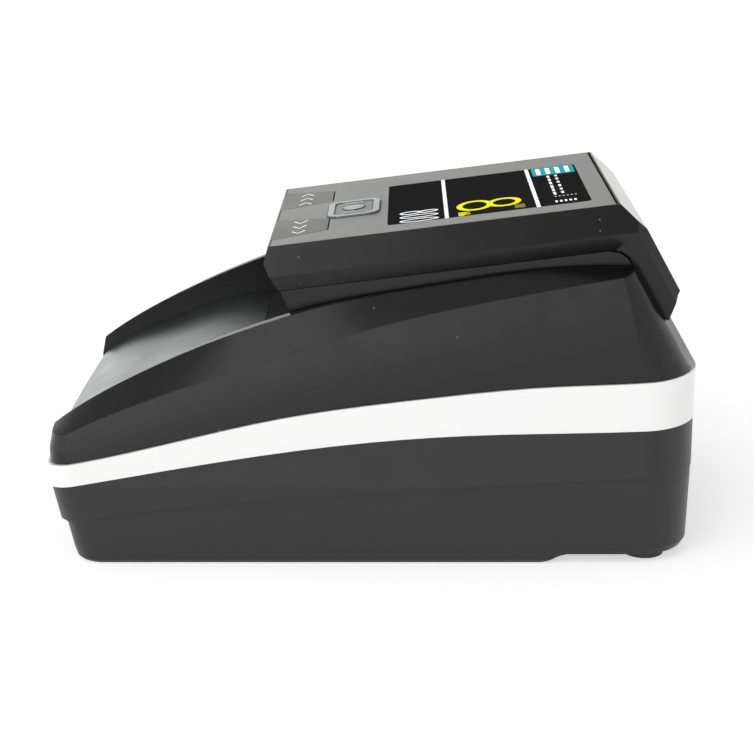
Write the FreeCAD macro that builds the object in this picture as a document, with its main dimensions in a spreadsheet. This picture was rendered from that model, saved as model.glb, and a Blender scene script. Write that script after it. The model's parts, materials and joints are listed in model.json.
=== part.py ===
"""Banknote counting machine, built from its separate pieces. Millimetres.

Row frame: +X is the operator's right, +Y is the rear, +Z is up. The origin is on the table, under
the centre of the machine. A note goes in at the front tray, between the two side walls, runs under
the head on three driven roller shafts, and leaves at the rear.
"""
import FreeCAD, Part
import math
import os
from FreeCAD import Placement, Rotation, Vector

doc = FreeCAD.newDocument("banknote_counter")

# ---------------------------------------------------------------- driving dimensions
DIMENSIONS = [
    # overall machine
    ("length", 205.0), ("width", 130.0), ("wall", 2.2),
    ("front_corner", 10.0), ("rear_corner", 17.5),
    ("channel_half", 49.9), ("liner_thick", 2.0), ("side_lean", 0.087),
    # note path
    ("deck_top", 61.4), ("deck_thick", 2.0), ("path_gap", 1.5),
    # drive
    ("shaft_dia", 6.0), ("shaft_height", 52.9), ("roller_dia", 18.0), ("roller_width", 12.0),
    ("roller_offset", 24.0), ("shaft_pitch", 36.0), ("feed_shaft_y", -2.0), ("bush_dia", 10.0),
    ("running_gap", 0.05), ("push_gap", 0.01), ("pulley_dia", 16.0), ("pulley_width", 5.0),
    ("pulley_x", -58.0), ("belt_thick", 1.2), ("belt_gap", 0.3), ("belt_width", 4.0),
    ("motor_pulley_dia", 9.0), ("motor_y", 34.0), ("motor_z", 25.0), ("motor_dia", 24.4),
    ("motor_length", 30.8), ("motor_shaft_dia", 2.3),
    # pressure rollers in the head
    ("idler_dia", 12.0), ("idler_axle_dia", 3.0), ("nip_gap", 0.35), ("idler_width", 10.0),
    # head
    ("head_slope", 7.1), ("head_front_y", -32.2), ("head_front_z", 99.8),
    ("panel_half", 46.1), ("panel_long", 107.8), ("panel_thick", 1.8),
    ("head_top_half", 46.7), ("head_half", 51.0), ("facet_drop", 8.7), ("neck_half", 48.6),
    ("hinge_y", 88.5), ("hinge_z", 68.0), ("hinge_pin_dia", 5.0), ("hinge_pin_long", 8.4),
    # keys, badge and display
    ("key_front", 29.0), ("key_rear", 17.0), ("key_long", 18.0), ("key_centre", 23.0),
    ("key_gap", 0.5), ("key_height", 2.8),
    ("window_wide", 65.0), ("window_long", 64.8), ("window_start", 37.4), ("window_shift", 4.0),
    ("window_corner", 1.6),
    ("window_thick", 1.6), ("badge_wide", 24.0), ("badge_long", 17.0), ("badge_start", 17.5),
    ("badge_thick", 0.7),
    # base
    ("skirt_height", 0.2), ("rear_lift", 3.2), ("step_depth", 1.6),
    ("floor_thick", 2.2), ("foot_dia", 13.0), ("foot_x", 50.5),
    ("foot_rear_y", 87.5), ("foot_front_y", -80.0), ("board_thick", 1.6), ("board_wide", 92.0),
    ("board_long", 92.0), ("board_y", -84.0), ("board_z", 8.0), ("screw_dia", 3.0),
    ("screw_head_dia", 5.6),
    # rear sockets
    ("switch_x", -34.0), ("switch_wide", 15.0), ("switch_tall", 21.0), ("socket_z", 24.0),
    ("jack_x", 34.0), ("jack_side", 11.0), ("jack_bore", 6.2), ("port_x", 12.0),
    ("port_wide", 9.0), ("port_tall", 8.0), ("rocker_throw", 14.0),
]

sheet = doc.addObject("Spreadsheet::Sheet", "dims")
for row, (alias, value) in enumerate(DIMENSIONS, start=1):
    sheet.set("A%d" % row, alias)
    sheet.set("B%d" % row, str(value))
    sheet.setAlias("B%d" % row, alias)
doc.recompute()
D = {alias: float(sheet.get(alias)) for alias, value in DIMENSIONS}

HALF_WIDTH = D["width"] / 2
HALF_LENGTH = D["length"] / 2
SHAFT_YS = [D["feed_shaft_y"] + D["shaft_pitch"] * i for i in range(3)]
SHAFT_NAMES = ["feed", "middle", "exit"]
IDLER_Z = D["shaft_height"] + D["roller_dia"] / 2 + D["nip_gap"] + D["idler_dia"] / 2

HEAD_FRAME = Placement(Vector(0, D["head_front_y"], D["head_front_z"]),
                       Rotation(Vector(1, 0, 0), D["head_slope"]))

subparts = []


# ---------------------------------------------------------------- general helpers
def keep(obj, label):
    """Name a finished sub-part and list it for export."""
    obj.Label = label
    subparts.append(obj)
    return obj


def place(obj, corner):
    """Bind a primitive's position to expressions or numbers."""
    for axis, text in zip("xyz", corner):
        obj.setExpression("Placement.Base." + axis, str(text))


def box(name, size, corner):
    obj = doc.addObject("Part::Box", name)
    for prop, text in zip(("Length", "Width", "Height"), size):
        obj.setExpression(prop, str(text))
    place(obj, corner)
    return obj


def rod(name, radius, length, start, axis="x"):
    """Cylinder from start along one row axis."""
    obj = doc.addObject("Part::Cylinder", name)
    turns = {"x": Rotation(Vector(0, 1, 0), 90), "y": Rotation(Vector(1, 0, 0), -90), "z": Rotation()}
    obj.Placement = Placement(Vector(), turns[axis])
    obj.setExpression("Radius", str(radius))
    obj.setExpression("Height", str(length))
    place(obj, start)
    return obj


def cut(name, base, tool):
    obj = doc.addObject("Part::Cut", name)
    obj.Base = base
    obj.Tool = tool
    return obj


def fuse(name, shapes):
    obj = doc.addObject("Part::MultiFuse", name)
    obj.Shapes = shapes
    return obj


def group(name, shapes):
    """Several separate solids that share one node."""
    obj = doc.addObject("Part::Compound", name)
    obj.Links = shapes
    return obj


def origin_plane(body, role):
    for item in body.Origin.OriginFeatures:
        if item.Role == role:
            return item


def outline_sketch(body, name, role, points, offset=0.0):
    """Closed polygon sketch on one of the body's own origin planes."""
    sketch = body.newObject("Sketcher::SketchObject", name)
    sketch.AttachmentSupport = [(origin_plane(body, role), "")]
    sketch.MapMode = "FlatFace"
    sketch.AttachmentOffset = Placement(Vector(0, 0, offset), Rotation())
    for (ax, ay), (bx, by) in zip(points, points[1:] + points[:1]):
        sketch.addGeometry(Part.LineSegment(Vector(ax, ay, 0), Vector(bx, by, 0)), False)
    return sketch


def pad(body, name, role, points, length, offset=0.0, midplane=False):
    sketch = outline_sketch(body, name + "_outline", role, points, offset)
    feature = body.newObject("PartDesign::Pad", name)
    feature.Profile = sketch
    feature.setExpression("Length", str(length))
    feature.Midplane = midplane
    return feature


def pocket(body, name, role, points, length, offset=0.0, midplane=True):
    sketch = outline_sketch(body, name + "_outline", role, points, offset)
    feature = body.newObject("PartDesign::Pocket", name)
    feature.Profile = sketch
    feature.setExpression("Length", str(length))
    feature.Midplane = midplane
    return feature


def new_body(name):
    return doc.addObject("PartDesign::Body", name)


def solid_feature(name, shape):
    obj = doc.addObject("Part::Feature", name)
    obj.Shape = shape.removeSplitter() if len(shape.Solids) > 1 else shape
    return obj


def rectangle(x0, x1, y0, y1):
    return [(x0, y0), (x1, y0), (x1, y1), (x0, y1)]


def rounded_rectangle(x0, x1, y0, y1, radius):
    """Rectangle whose corners are arcs of six short sides."""
    steps = 6
    points = []
    centres = [(x1 - radius, y1 - radius), (x0 + radius, y1 - radius), (x0 + radius, y0 + radius),
               (x1 - radius, y0 + radius)]
    for quarter, (cx, cy) in enumerate(centres):
        for step in range(steps + 1):
            angle = math.radians(90 * (quarter + step / steps))
            points.append((cx + radius * math.cos(angle), cy + radius * math.sin(angle)))
    return points


# ---------------------------------------------------------------- side-view curves (Y, Z)
STEP_LINE = [(-106, 12.8), (-52.6, 20.8), (-10, 24.3), (43.3, 27.7), (106, 30.4)]
BAND_LOWER = [(-106, 25.0), (-59.8, 33.2), (-15, 39.9), (29.5, 43.6), (81.9, 44.9), (106, 46.3)]
BAND_UPPER = [(-106, 32.6), (-82.9, 36.7), (-28.5, 49.1), (15.1, 55.3), (56, 59.2), (82, 60.3),
              (106, 62.8)]
TRAY_TOP = [(-101.9, 37.0), (-96.3, 41.6), (-74.1, 51.6), (-53.1, 59.2), (-38.0, 61.3)]
INNER_TOP = [(-104, 41.0), (-93.3, 49.0), (-76.4, 58.7), (-44.6, 73.0), (-15, 82.3), (15.1, 87.8),
             (43, 92.2), (69.8, 94.2), (106, 94.6)]
CREASE = [(-104, 39.0), (-83.2, 49.0), (-44.0, 63.0), (2.8, 77.6), (29.3, 83.8), (55.8, 88.9),
          (80.6, 93.2), (106, 96.0)]
REAR_SLOPE_TOP = (82.6, 94.2)
REAR_SLOPE_RUN = 0.560
# flat land on top of the side walls: (Y, width), widest just in front of the head
# flat land on top of the side walls: (Y, width), widest just in front of the head
WALL_LANDS = [(-104, 0.8), (-92, 1.0), (-76, 1.5), (-60, 2.3), (-45, 3.2), (-32, 3.7),
              (-15, 2.6), (0, 1.5), (15, 1.3), (45, 1.3), (75, 1.3), (106, 1.3)]
# the side walls swell gently outward over this depth below the crease
SHOULDER_DEPTH = 24.0
SHOULDER_SET = 1.1
SHOULDER_STEPS = 8
# the step in the lower housing's sides almost fades out at the rear
REAR_SHARE = 0.15


def side_curve(points, x=0.0):
    curve = Part.BSplineCurve()
    curve.interpolate([Vector(x, y, z) for y, z in points])
    return curve


def height_at(points, y):
    """Height of a side-view curve at y."""
    curve = side_curve(points)
    low, high = curve.FirstParameter, curve.LastParameter
    for step in range(50):
        middle = (low + high) / 2
        if curve.value(middle).y < y:
            low = middle
        else:
            high = middle
    return curve.value(low).z


def layer(lower, upper, half=80.0):
    """Solid between two side-view curves, right across the machine."""
    bottom = side_curve(lower, -half)
    top = side_curve(upper, -half)
    edges = [bottom.toShape(), Part.makeLine(bottom.EndPoint, top.EndPoint), top.toShape(),
             Part.makeLine(top.StartPoint, bottom.StartPoint)]
    face = Part.Face(Part.Wire(Part.__sortEdges__(edges)))
    return face.extrude(Vector(2 * half, 0, 0))


def shifted(points, dz):
    return [(y, z + dz) for y, z in points]


def flat_line(z):
    return [(-106, z), (-30, z), (30, z), (106, z)]


def prism_yz(points, half):
    """Polygon in side view, extruded across the machine."""
    corners = [Vector(-half, y, z) for y, z in points]
    wire = Part.makePolygon(corners + corners[:1])
    return Part.Face(wire).extrude(Vector(2 * half, 0, 0))


def plan_wire(half, front, rear, front_radius, rear_radius, z):
    """Plan outline: a rectangle with small front corners and large rear corners."""
    def corner(cx, cy, radius, start):
        points = [Vector(cx + radius * math.cos(math.radians(start + a)),
                         cy + radius * math.sin(math.radians(start + a)), z) for a in (0, 45, 90)]
        return Part.Arc(*points).toShape()
    arcs = [corner(half - rear_radius, rear - rear_radius, rear_radius, 0),
            corner(-half + rear_radius, rear - rear_radius, rear_radius, 90),
            corner(-half + front_radius, front + front_radius, front_radius, 180),
            corner(half - front_radius, front + front_radius, front_radius, 270)]
    edges = []
    for arc, following in zip(arcs, arcs[1:] + arcs[:1]):
        edges.append(arc)
        edges.append(Part.makeLine(arc.Vertexes[-1].Point, following.Vertexes[0].Point))
    return Part.Wire(edges)


def plan_stack(levels, inset, rear_inset=None, rear_radii=None):
    """Block through plan outlines at several heights. Each level is (z, half, front, rear)."""
    if rear_inset is None:
        rear_inset = inset
    if rear_radii is None:
        rear_radii = [D["rear_corner"]] * len(levels)
    front_radius = max(D["front_corner"] - inset, 2)
    wires = [plan_wire(half - inset, front + inset, rear - rear_inset, front_radius,
                       max(rear_radius - inset, 2), z)
             for (z, half, front, rear), rear_radius in zip(levels, rear_radii)]
    return Part.makeLoft(wires, True, True)


# ---------------------------------------------------------------- casing
def base_block(inset, rear_inset=None):
    """Lower housing envelope: drafted sides, a leaning front and a small chamfer underneath."""
    if rear_inset is None:
        rear_inset = inset * REAR_SHARE
    bottom = D["skirt_height"]
    levels = [(bottom, 62.3, -95.8, 97.6), (bottom + 1.0, 62.9, -96.7, 99.2),
              (bottom + 3.0, 63.0, -97.3, 100.7), (bottom + 4.8, 63.1, -97.7, 101.8),
              (27, 64.3, -102.1, 102.2), (50, 64.3 - D["side_lean"] * 20, -102.1, 102.3)]
    return plan_stack(levels, inset, rear_inset)


def make_base_shell():
    """Lower housing: a tub whose upper part stands proud of the lower part along a rising step."""
    deep = D["step_depth"]
    lift = D["rear_lift"]
    outer = base_block(0.0).common(layer(STEP_LINE, BAND_LOWER))
    # the step is eased by two narrower ledges
    for share, drop in ((0.3, 0.5), (0.65, 1.2)):
        outer = outer.fuse(base_block(deep * share).common(layer(shifted(STEP_LINE, -drop), BAND_LOWER)))
    outer = outer.fuse(base_block(deep).common(layer(flat_line(-1), BAND_LOWER)))
    # the underside steps up in front of the rear feet
    rise = [(53.5, -2), (53.5, 0.1), (56.0, 0.8), (59.5, lift - 0.6), (62.0, lift), (106, lift), (106, -2)]
    outer = outer.cut(prism_yz(rise, 80))
    floor_top = D["floor_thick"] + lift
    inside = base_block(deep + D["wall"], D["wall"]).common(
        layer(flat_line(floor_top), shifted(BAND_LOWER, 8)))
    shell = outer.cut(inside)
    for x, y in SCREW_SPOTS:
        shell = shell.fuse(Part.makeCylinder(3.4, POST_TOP - 4, Vector(x, y, 4)))
    for x, y in BOARD_SPOTS:
        shell = shell.fuse(Part.makeCylinder(3.0, D["board_z"] - 4, Vector(x, y, 4)))
    for x in (12.0, 38.0):
        shell = shell.fuse(Part.makeCylinder(2.5, 12.6, Vector(x, 86, 4)))
    for x, y in FOOT_SPOTS:
        rest = 1.6 if y < 0 else 3.9
        shell = shell.cut(Part.makeCylinder(D["foot_dia"] / 2 + 0.1, rest + 1, Vector(x, y, -1)))
    for x, y in SCREW_SPOTS:
        shell = shell.cut(Part.makeCylinder(D["screw_dia"] / 2 + 0.2, 30, Vector(x, y, -1)))
        shell = shell.cut(Part.makeCylinder(D["screw_head_dia"] / 2 + 0.4, 8, Vector(x, y, -1)))
    for x, y in BOARD_SPOTS:
        shell = shell.cut(Part.makeCylinder(1.25, 10, Vector(x, y, 5.6)))
    for dy in (-12.5, 12.5):
        shell = shell.cut(Part.makeCylinder(1.45, 5, Vector(-42.5, D["motor_y"] + dy, 3.6)))
    for x, wide, z, tall in socket_cutouts():
        shell = shell.cut(Part.makeBox(wide, 20, tall, Vector(x - wide / 2, 90, z - tall / 2)))
    return keep(solid_feature("base_shell_solid", shell), "base_shell")


def socket_cutouts():
    return [(D["switch_x"], D["switch_wide"], D["socket_z"], D["switch_tall"]),
            (D["jack_x"], D["jack_side"], D["socket_z"], D["jack_side"]),
            (D["port_x"], D["port_wide"], D["socket_z"], D["port_tall"])]


def make_white_band():
    """Bright trim ring that lies between the two housings and widens towards the rear."""
    levels = [(z, HALF_WIDTH - D["side_lean"] * max(z - 30, 0), -HALF_LENGTH, HALF_LENGTH)
              for z in (15, 30, 75)]
    outer = plan_stack(levels, 0)
    inner = plan_stack(levels, 3.4)
    ring = outer.cut(inner).common(layer(shifted(BAND_LOWER, 0.15), shifted(BAND_UPPER, -0.15)))
    return keep(solid_feature("white_band_solid", ring), "white_band")


def hump(inset):
    """Upper housing as a full block: leaning sides, bevels to the inner walls, sloping rear."""
    slope_y, slope_z = REAR_SLOPE_TOP
    kink = slope_z - (102.1 - slope_y) / REAR_SLOPE_RUN
    levels = [(20, 64.3, -101.9, 102.1), (30, 64.3, -101.9, 102.1),
              (37.5, 64.3 - D["side_lean"] * 7.5, -101.9, 102.1),
              (kink, 64.3 - D["side_lean"] * (kink - 30), -101.9 + (kink - 37.5) * 0.206, 102.1),
              (118, 64.3 - D["side_lean"] * 88, -85.3, slope_y - (118 - slope_z) * REAR_SLOPE_RUN)]
    rear_corner = D["rear_corner"]
    block = plan_stack(levels, inset, rear_radii=[rear_corner, rear_corner, rear_corner, 14.5, 8.0])
    caps = []
    for y, land_width in WALL_LANDS:
        top = height_at(INNER_TOP, y)
        crease = min(height_at(CREASE, y), top - 0.3)
        land = D["channel_half"] + land_width
        side = [(land, top - inset)]
        for step in range(SHOULDER_STEPS + 1):
            share = step / SHOULDER_STEPS
            z = crease - SHOULDER_DEPTH * share
            ease = SHOULDER_SET * (1 - share) ** 2
            side.append((64.3 - D["side_lean"] * (z - 30) - ease - inset, z - inset * 0.5))
        side.append((80, side[-1][1] - 1.5))
        half = [Vector(x, y, z) for x, z in side]
        other_half = [Vector(-x, y, z) for x, z in side]
        corners = [Vector(-80, y, -60), Vector(80, y, -60)] + half[::-1] + other_half
        caps.append(Part.makePolygon(corners + corners[:1]))
    return block.common(Part.makeLoft(caps, True, False))


def liner_profile():
    """Side view of the channel's inner walls, which also carry the shaft bushes."""
    return [(-101.9, 33.5), (-70, 44), (97.2, 44), (97.2, 63.4), (103, 63.4), (103, 130), (-101.9, 130)]


def tray_floor(dz):
    """Note floor in side view: a rising ramp, then level under the head."""
    front, rear = TRAY_TOP[0][0], TRAY_TOP[-1][0]
    steps = 16
    ramp = []
    for step in range(steps + 1):
        y = front + (rear - front) * step / steps
        ramp.append((y, height_at(TRAY_TOP, y) + dz))
    return ramp + [(100, D["deck_top"] + dz)]


def make_upper_shell():
    """Upper housing: two side walls with the note channel between them, open at both ends."""
    outer = hump(0.0).common(layer(BAND_UPPER, flat_line(118)))
    half = D["channel_half"]
    liner = prism_yz(liner_profile(), half + D["liner_thick"]).cut(
        prism_yz([(-120, 0), (120, 0), (120, 140), (-120, 140)], half))
    floor_line = tray_floor(-D["deck_thick"] - 0.1)
    channel = prism_yz([(-120, floor_line[0][1] - 5)] + floor_line
                       + [(120, floor_line[-1][1]), (120, 140), (-120, 140)], half)
    shell = outer.cut(hump(D["wall"]).cut(liner)).cut(channel)
    skirt = liner.common(hump(0.0)).common(layer(shifted(BAND_UPPER, -14), flat_line(118)))
    shell = shell.fuse(skirt)
    bosses = []
    for x, y in SCREW_SPOTS:
        bosses.append(Part.makeCylinder(3.4, 80, Vector(x, y, POST_TOP + 0.1)))
    for side in (-1, 1):
        bosses.append(Part.makeCylinder(5.0, 5.0, Vector(side * 51.9, D["hinge_y"], D["hinge_z"]),
                                        Vector(side, 0, 0)))
    solid_room = hump(0.6)
    for boss in bosses:
        shell = shell.fuse(boss.common(solid_room).cut(channel))
    for x, y in SCREW_SPOTS:
        shell = shell.cut(Part.makeCylinder(D["screw_dia"] / 2, 12, Vector(x, y, POST_TOP - 1)))
    for y in SHAFT_YS:
        shell = shell.cut(Part.makeCylinder(D["bush_dia"] / 2, 108, Vector(-54, y, D["shaft_height"]),
                                            Vector(1, 0, 0)))
    pin_hole = D["hinge_pin_dia"] / 2 + D["running_gap"]
    shell = shell.cut(Part.makeCylinder(pin_hole, 112, Vector(-56, D["hinge_y"], D["hinge_z"]),
                                        Vector(1, 0, 0)))
    return keep(solid_feature("upper_shell_solid", shell), "upper_shell")


def tray_plan(half):
    """Plan of the front tray: its front edge is a shallow arc, proud in the middle."""
    front, rear = TRAY_TOP[0][0], TRAY_TOP[-1][0]
    bow = 1.6
    arc = Part.Arc(Vector(half, front + bow, 0), Vector(0, front, 0), Vector(-half, front + bow, 0))
    edges = [arc.toShape(), Part.makeLine(Vector(-half, front + bow, 0), Vector(-half, rear, 0)),
             Part.makeLine(Vector(-half, rear, 0), Vector(half, rear, 0)),
             Part.makeLine(Vector(half, rear, 0), Vector(half, front + bow, 0))]
    return Part.Face(Part.Wire(edges)).extrude(Vector(0, 0, 120))


def make_floor_pieces():
    """Front tray and the level deck behind it, with slots for rollers and a sensor window."""
    half = D["channel_half"] - 0.3
    split_y = TRAY_TOP[-1][0]
    tray = layer(shifted(TRAY_TOP, -D["deck_thick"]), TRAY_TOP).common(tray_plan(half))
    keep(solid_feature("entry_tray_solid", tray), "entry_tray")

    body = new_body("path_deck_body")
    z = D["deck_top"]
    low = z - D["deck_thick"]
    side = [(split_y + 0.2, low), (97.6, low), (98.2, low + 0.6), (95.6, z), (split_y + 0.2, z)]
    pad(body, "deck_plate", "YZ_Plane", side, "2 * (dims.channel_half - 0.3)", midplane=True)
    for index, y in enumerate(SHAFT_YS):
        for side_sign in (-1, 1):
            x = side_sign * D["roller_offset"]
            slot = rectangle(x - 7.0, x + 7.0, y - 7.8, y + 7.8)
            pocket(body, "roller_slot_%d%s" % (index, "ab"[side_sign > 0]), "XY_Plane", slot, 200)
    pocket(body, "sensor_slot", "XY_Plane", rectangle(-45, 45, 12, 22), 200)
    eye_y = -18.0
    for index, x in enumerate((-14.0, 14.0)):
        pocket(body, "eye_hole_%d" % index, "XY_Plane", bore_outline(x, eye_y, 2.5), 200)
    keep(body, "path_deck")
    glass = box("lower_glass", (89.6, 9.6, "dims.deck_thick"),
                (-44.8, 12.2, "dims.deck_top - dims.deck_thick"))
    keep(glass, "lower_sensor_glass")
    keep(box("lower_sensor_bar", (92, 14, 11), (-46, 10, 48.2)), "lower_image_sensor")
    sensors = []
    for x in (-14.0, 14.0):
        sensors.append(rod("entry_eye_%d" % len(sensors), 2.4, 9, (x, eye_y, 51.0), "z"))
    keep(group("entry_eyes", sensors), "entry_sensors")


# ---------------------------------------------------------------- base hardware
def make_base_hardware():
    feet = []
    screws = []
    for x, y in FOOT_SPOTS:
        tall = 1.6 if y < 0 else 3.9
        feet.append(rod("foot_%d" % len(feet), "dims.foot_dia / 2", tall, (x, y, 0), "z"))
    for x, y in SCREW_SPOTS:
        head = rod("screw_head_%d" % len(screws), "dims.screw_head_dia / 2", 2.0, (x, y, 5.0), "z")
        shank = rod("screw_shank_%d" % len(screws), "dims.screw_dia / 2", 18.0, (x, y, 7.0), "z")
        screws.append(fuse("screw_%d" % len(screws), [head, shank]))
    keep(group("foot_set", feet), "rubber_feet")
    keep(group("casing_screw_set", screws), "casing_screws")

    board = box("board_blank", ("dims.board_wide", "dims.board_long", "dims.board_thick"),
                ("-dims.board_wide / 2", "dims.board_y", "dims.board_z"))
    holes = []
    bolts = []
    for x, y in BOARD_SPOTS:
        holes.append(rod("board_hole_%d" % len(holes), 1.35, 6, (x, y, 6.0), "z"))
        head = rod("board_bolt_head_%d" % len(bolts), 2.4, 1.6, (x, y, 9.6), "z")
        shank = rod("board_bolt_shank_%d" % len(bolts), 1.25, 3.9, (x, y, 5.7), "z")
        bolts.append(fuse("board_bolt_%d" % len(bolts), [head, shank]))
    keep(cut("board_drilled", board, group("board_holes", holes)), "main_board")
    keep(group("board_bolt_set", bolts), "board_screws")
    chips = [(-10, -40, 14, 14, 1.4), (12, -46, 10, 10, 1.2), (-30, -56, 8, 12, 1.2),
             (24, -24, 12, 6, 6.0), (-8, -16, 20, 5, 7.0), (-36, -24, 6, 18, 8.0), (30, -64, 9, 9, 9.0)]
    solids = []
    for x, y, wide, long, tall in chips:
        solids.append(box("chip_%d" % len(solids), (wide, long, tall),
                          (x, y, "dims.board_z + dims.board_thick")))
    keep(group("chip_set", solids), "board_chips")
    keep(rod("buzzer_can", 6.0, 6.0, (-24, -72, "dims.board_z + dims.board_thick"), "z"), "buzzer")


def make_rear_sockets():
    z = D["socket_z"]
    keep(box("io_blank", (44, 15, 1.6), (2, 82.5, 16.6)), "io_board")
    jack_block = box("jack_block", ("dims.jack_side - 0.2", 11.4, "dims.jack_side - 0.2"),
                     ("dims.jack_x - dims.jack_side / 2 + 0.1", 90,
                      "dims.socket_z - dims.jack_side / 2 + 0.1"))
    jack_hole = rod("jack_hole", "dims.jack_bore / 2", 12, ("dims.jack_x", 92, "dims.socket_z"), "y")
    keep(cut("jack_bored", jack_block, jack_hole), "dc_inlet")
    keep(rod("jack_pin", 1.05, 7.5, ("dims.jack_x", 92, "dims.socket_z"), "y"), "dc_pin")
    port_x, wide, tall = D["port_x"], D["port_wide"] - 0.3, D["port_tall"] - 0.3
    body = new_body("port_body")
    outer = rectangle(port_x - wide / 2, port_x + wide / 2, z - tall / 2, z + tall / 2)
    inner = rectangle(port_x - wide / 2 + 0.5, port_x + wide / 2 - 0.5, z - tall / 2 + 0.5,
                      z + tall / 2 - 0.5)
    pad(body, "port_block", "XZ_Plane", outer, 12.0, offset=-101.5)
    pocket(body, "port_hole", "XZ_Plane", inner, 22.0, offset=-102)
    keep(body, "update_port")

    switch_x = D["switch_x"]
    wide, tall = D["switch_wide"] - 0.2, D["switch_tall"] - 0.2
    shell = box("switch_block", (wide, 14, tall), (switch_x - wide / 2, 87.6, z - tall / 2))
    room = box("switch_room", (10.4, 9, 16.6), (switch_x - 5.2, 93, z - 8.3))
    axle = rod("switch_axle_hole", 1.05, 12.6, (switch_x - 6.3, 97.5, z))
    keep(cut("switch_hollow", shell, fuse("switch_voids", [room, axle])), "switch_housing")
    rocker = new_body("rocker_body")
    profile = [(-2.6, -2.2), (1.6, -7.4), (3.9, -7.4), (3.3, 0), (3.9, 7.4), (1.6, 7.4), (-2.6, 2.2)]
    pad(rocker, "rocker_block", "YZ_Plane", profile, 9.6, midplane=True)
    half_tilt = math.radians(D["rocker_throw"] / 2)
    pin_hole = [(1.0 * math.cos(a), 1.0 * math.sin(a))
                for a in [math.pi * i / 12 + half_tilt for i in range(24)]]
    pad(rocker, "rocker_axle", "YZ_Plane", pin_hole, 12.2, midplane=True)
    rocker.Placement = Placement(Vector(switch_x, 97.5, z),
                                 Rotation(Vector(1, 0, 0), D["rocker_throw"] / 2))
    keep(rocker, "power_rocker")


# ---------------------------------------------------------------- drive
def tooth_outline(cy, cz, radius, teeth, depth):
    """Toothed wheel outline as flat-topped teeth."""
    points = []
    for tooth in range(teeth):
        for part, reach in ((0.0, radius), (0.5, radius), (0.62, radius - depth), (0.88, radius - depth)):
            angle = 2 * math.pi * (tooth + part) / teeth
            points.append((cy + reach * math.cos(angle), cz + reach * math.sin(angle)))
    return points


def bore_outline(cy, cz, radius):
    """Polygon that just clears a round shaft."""
    sides = 48
    reach = (radius + D["push_gap"]) / math.cos(math.pi / sides)
    turns = [2 * math.pi * i / sides for i in range(sides)]
    return [(cy + reach * math.cos(a), cz + reach * math.sin(a)) for a in turns]


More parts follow.
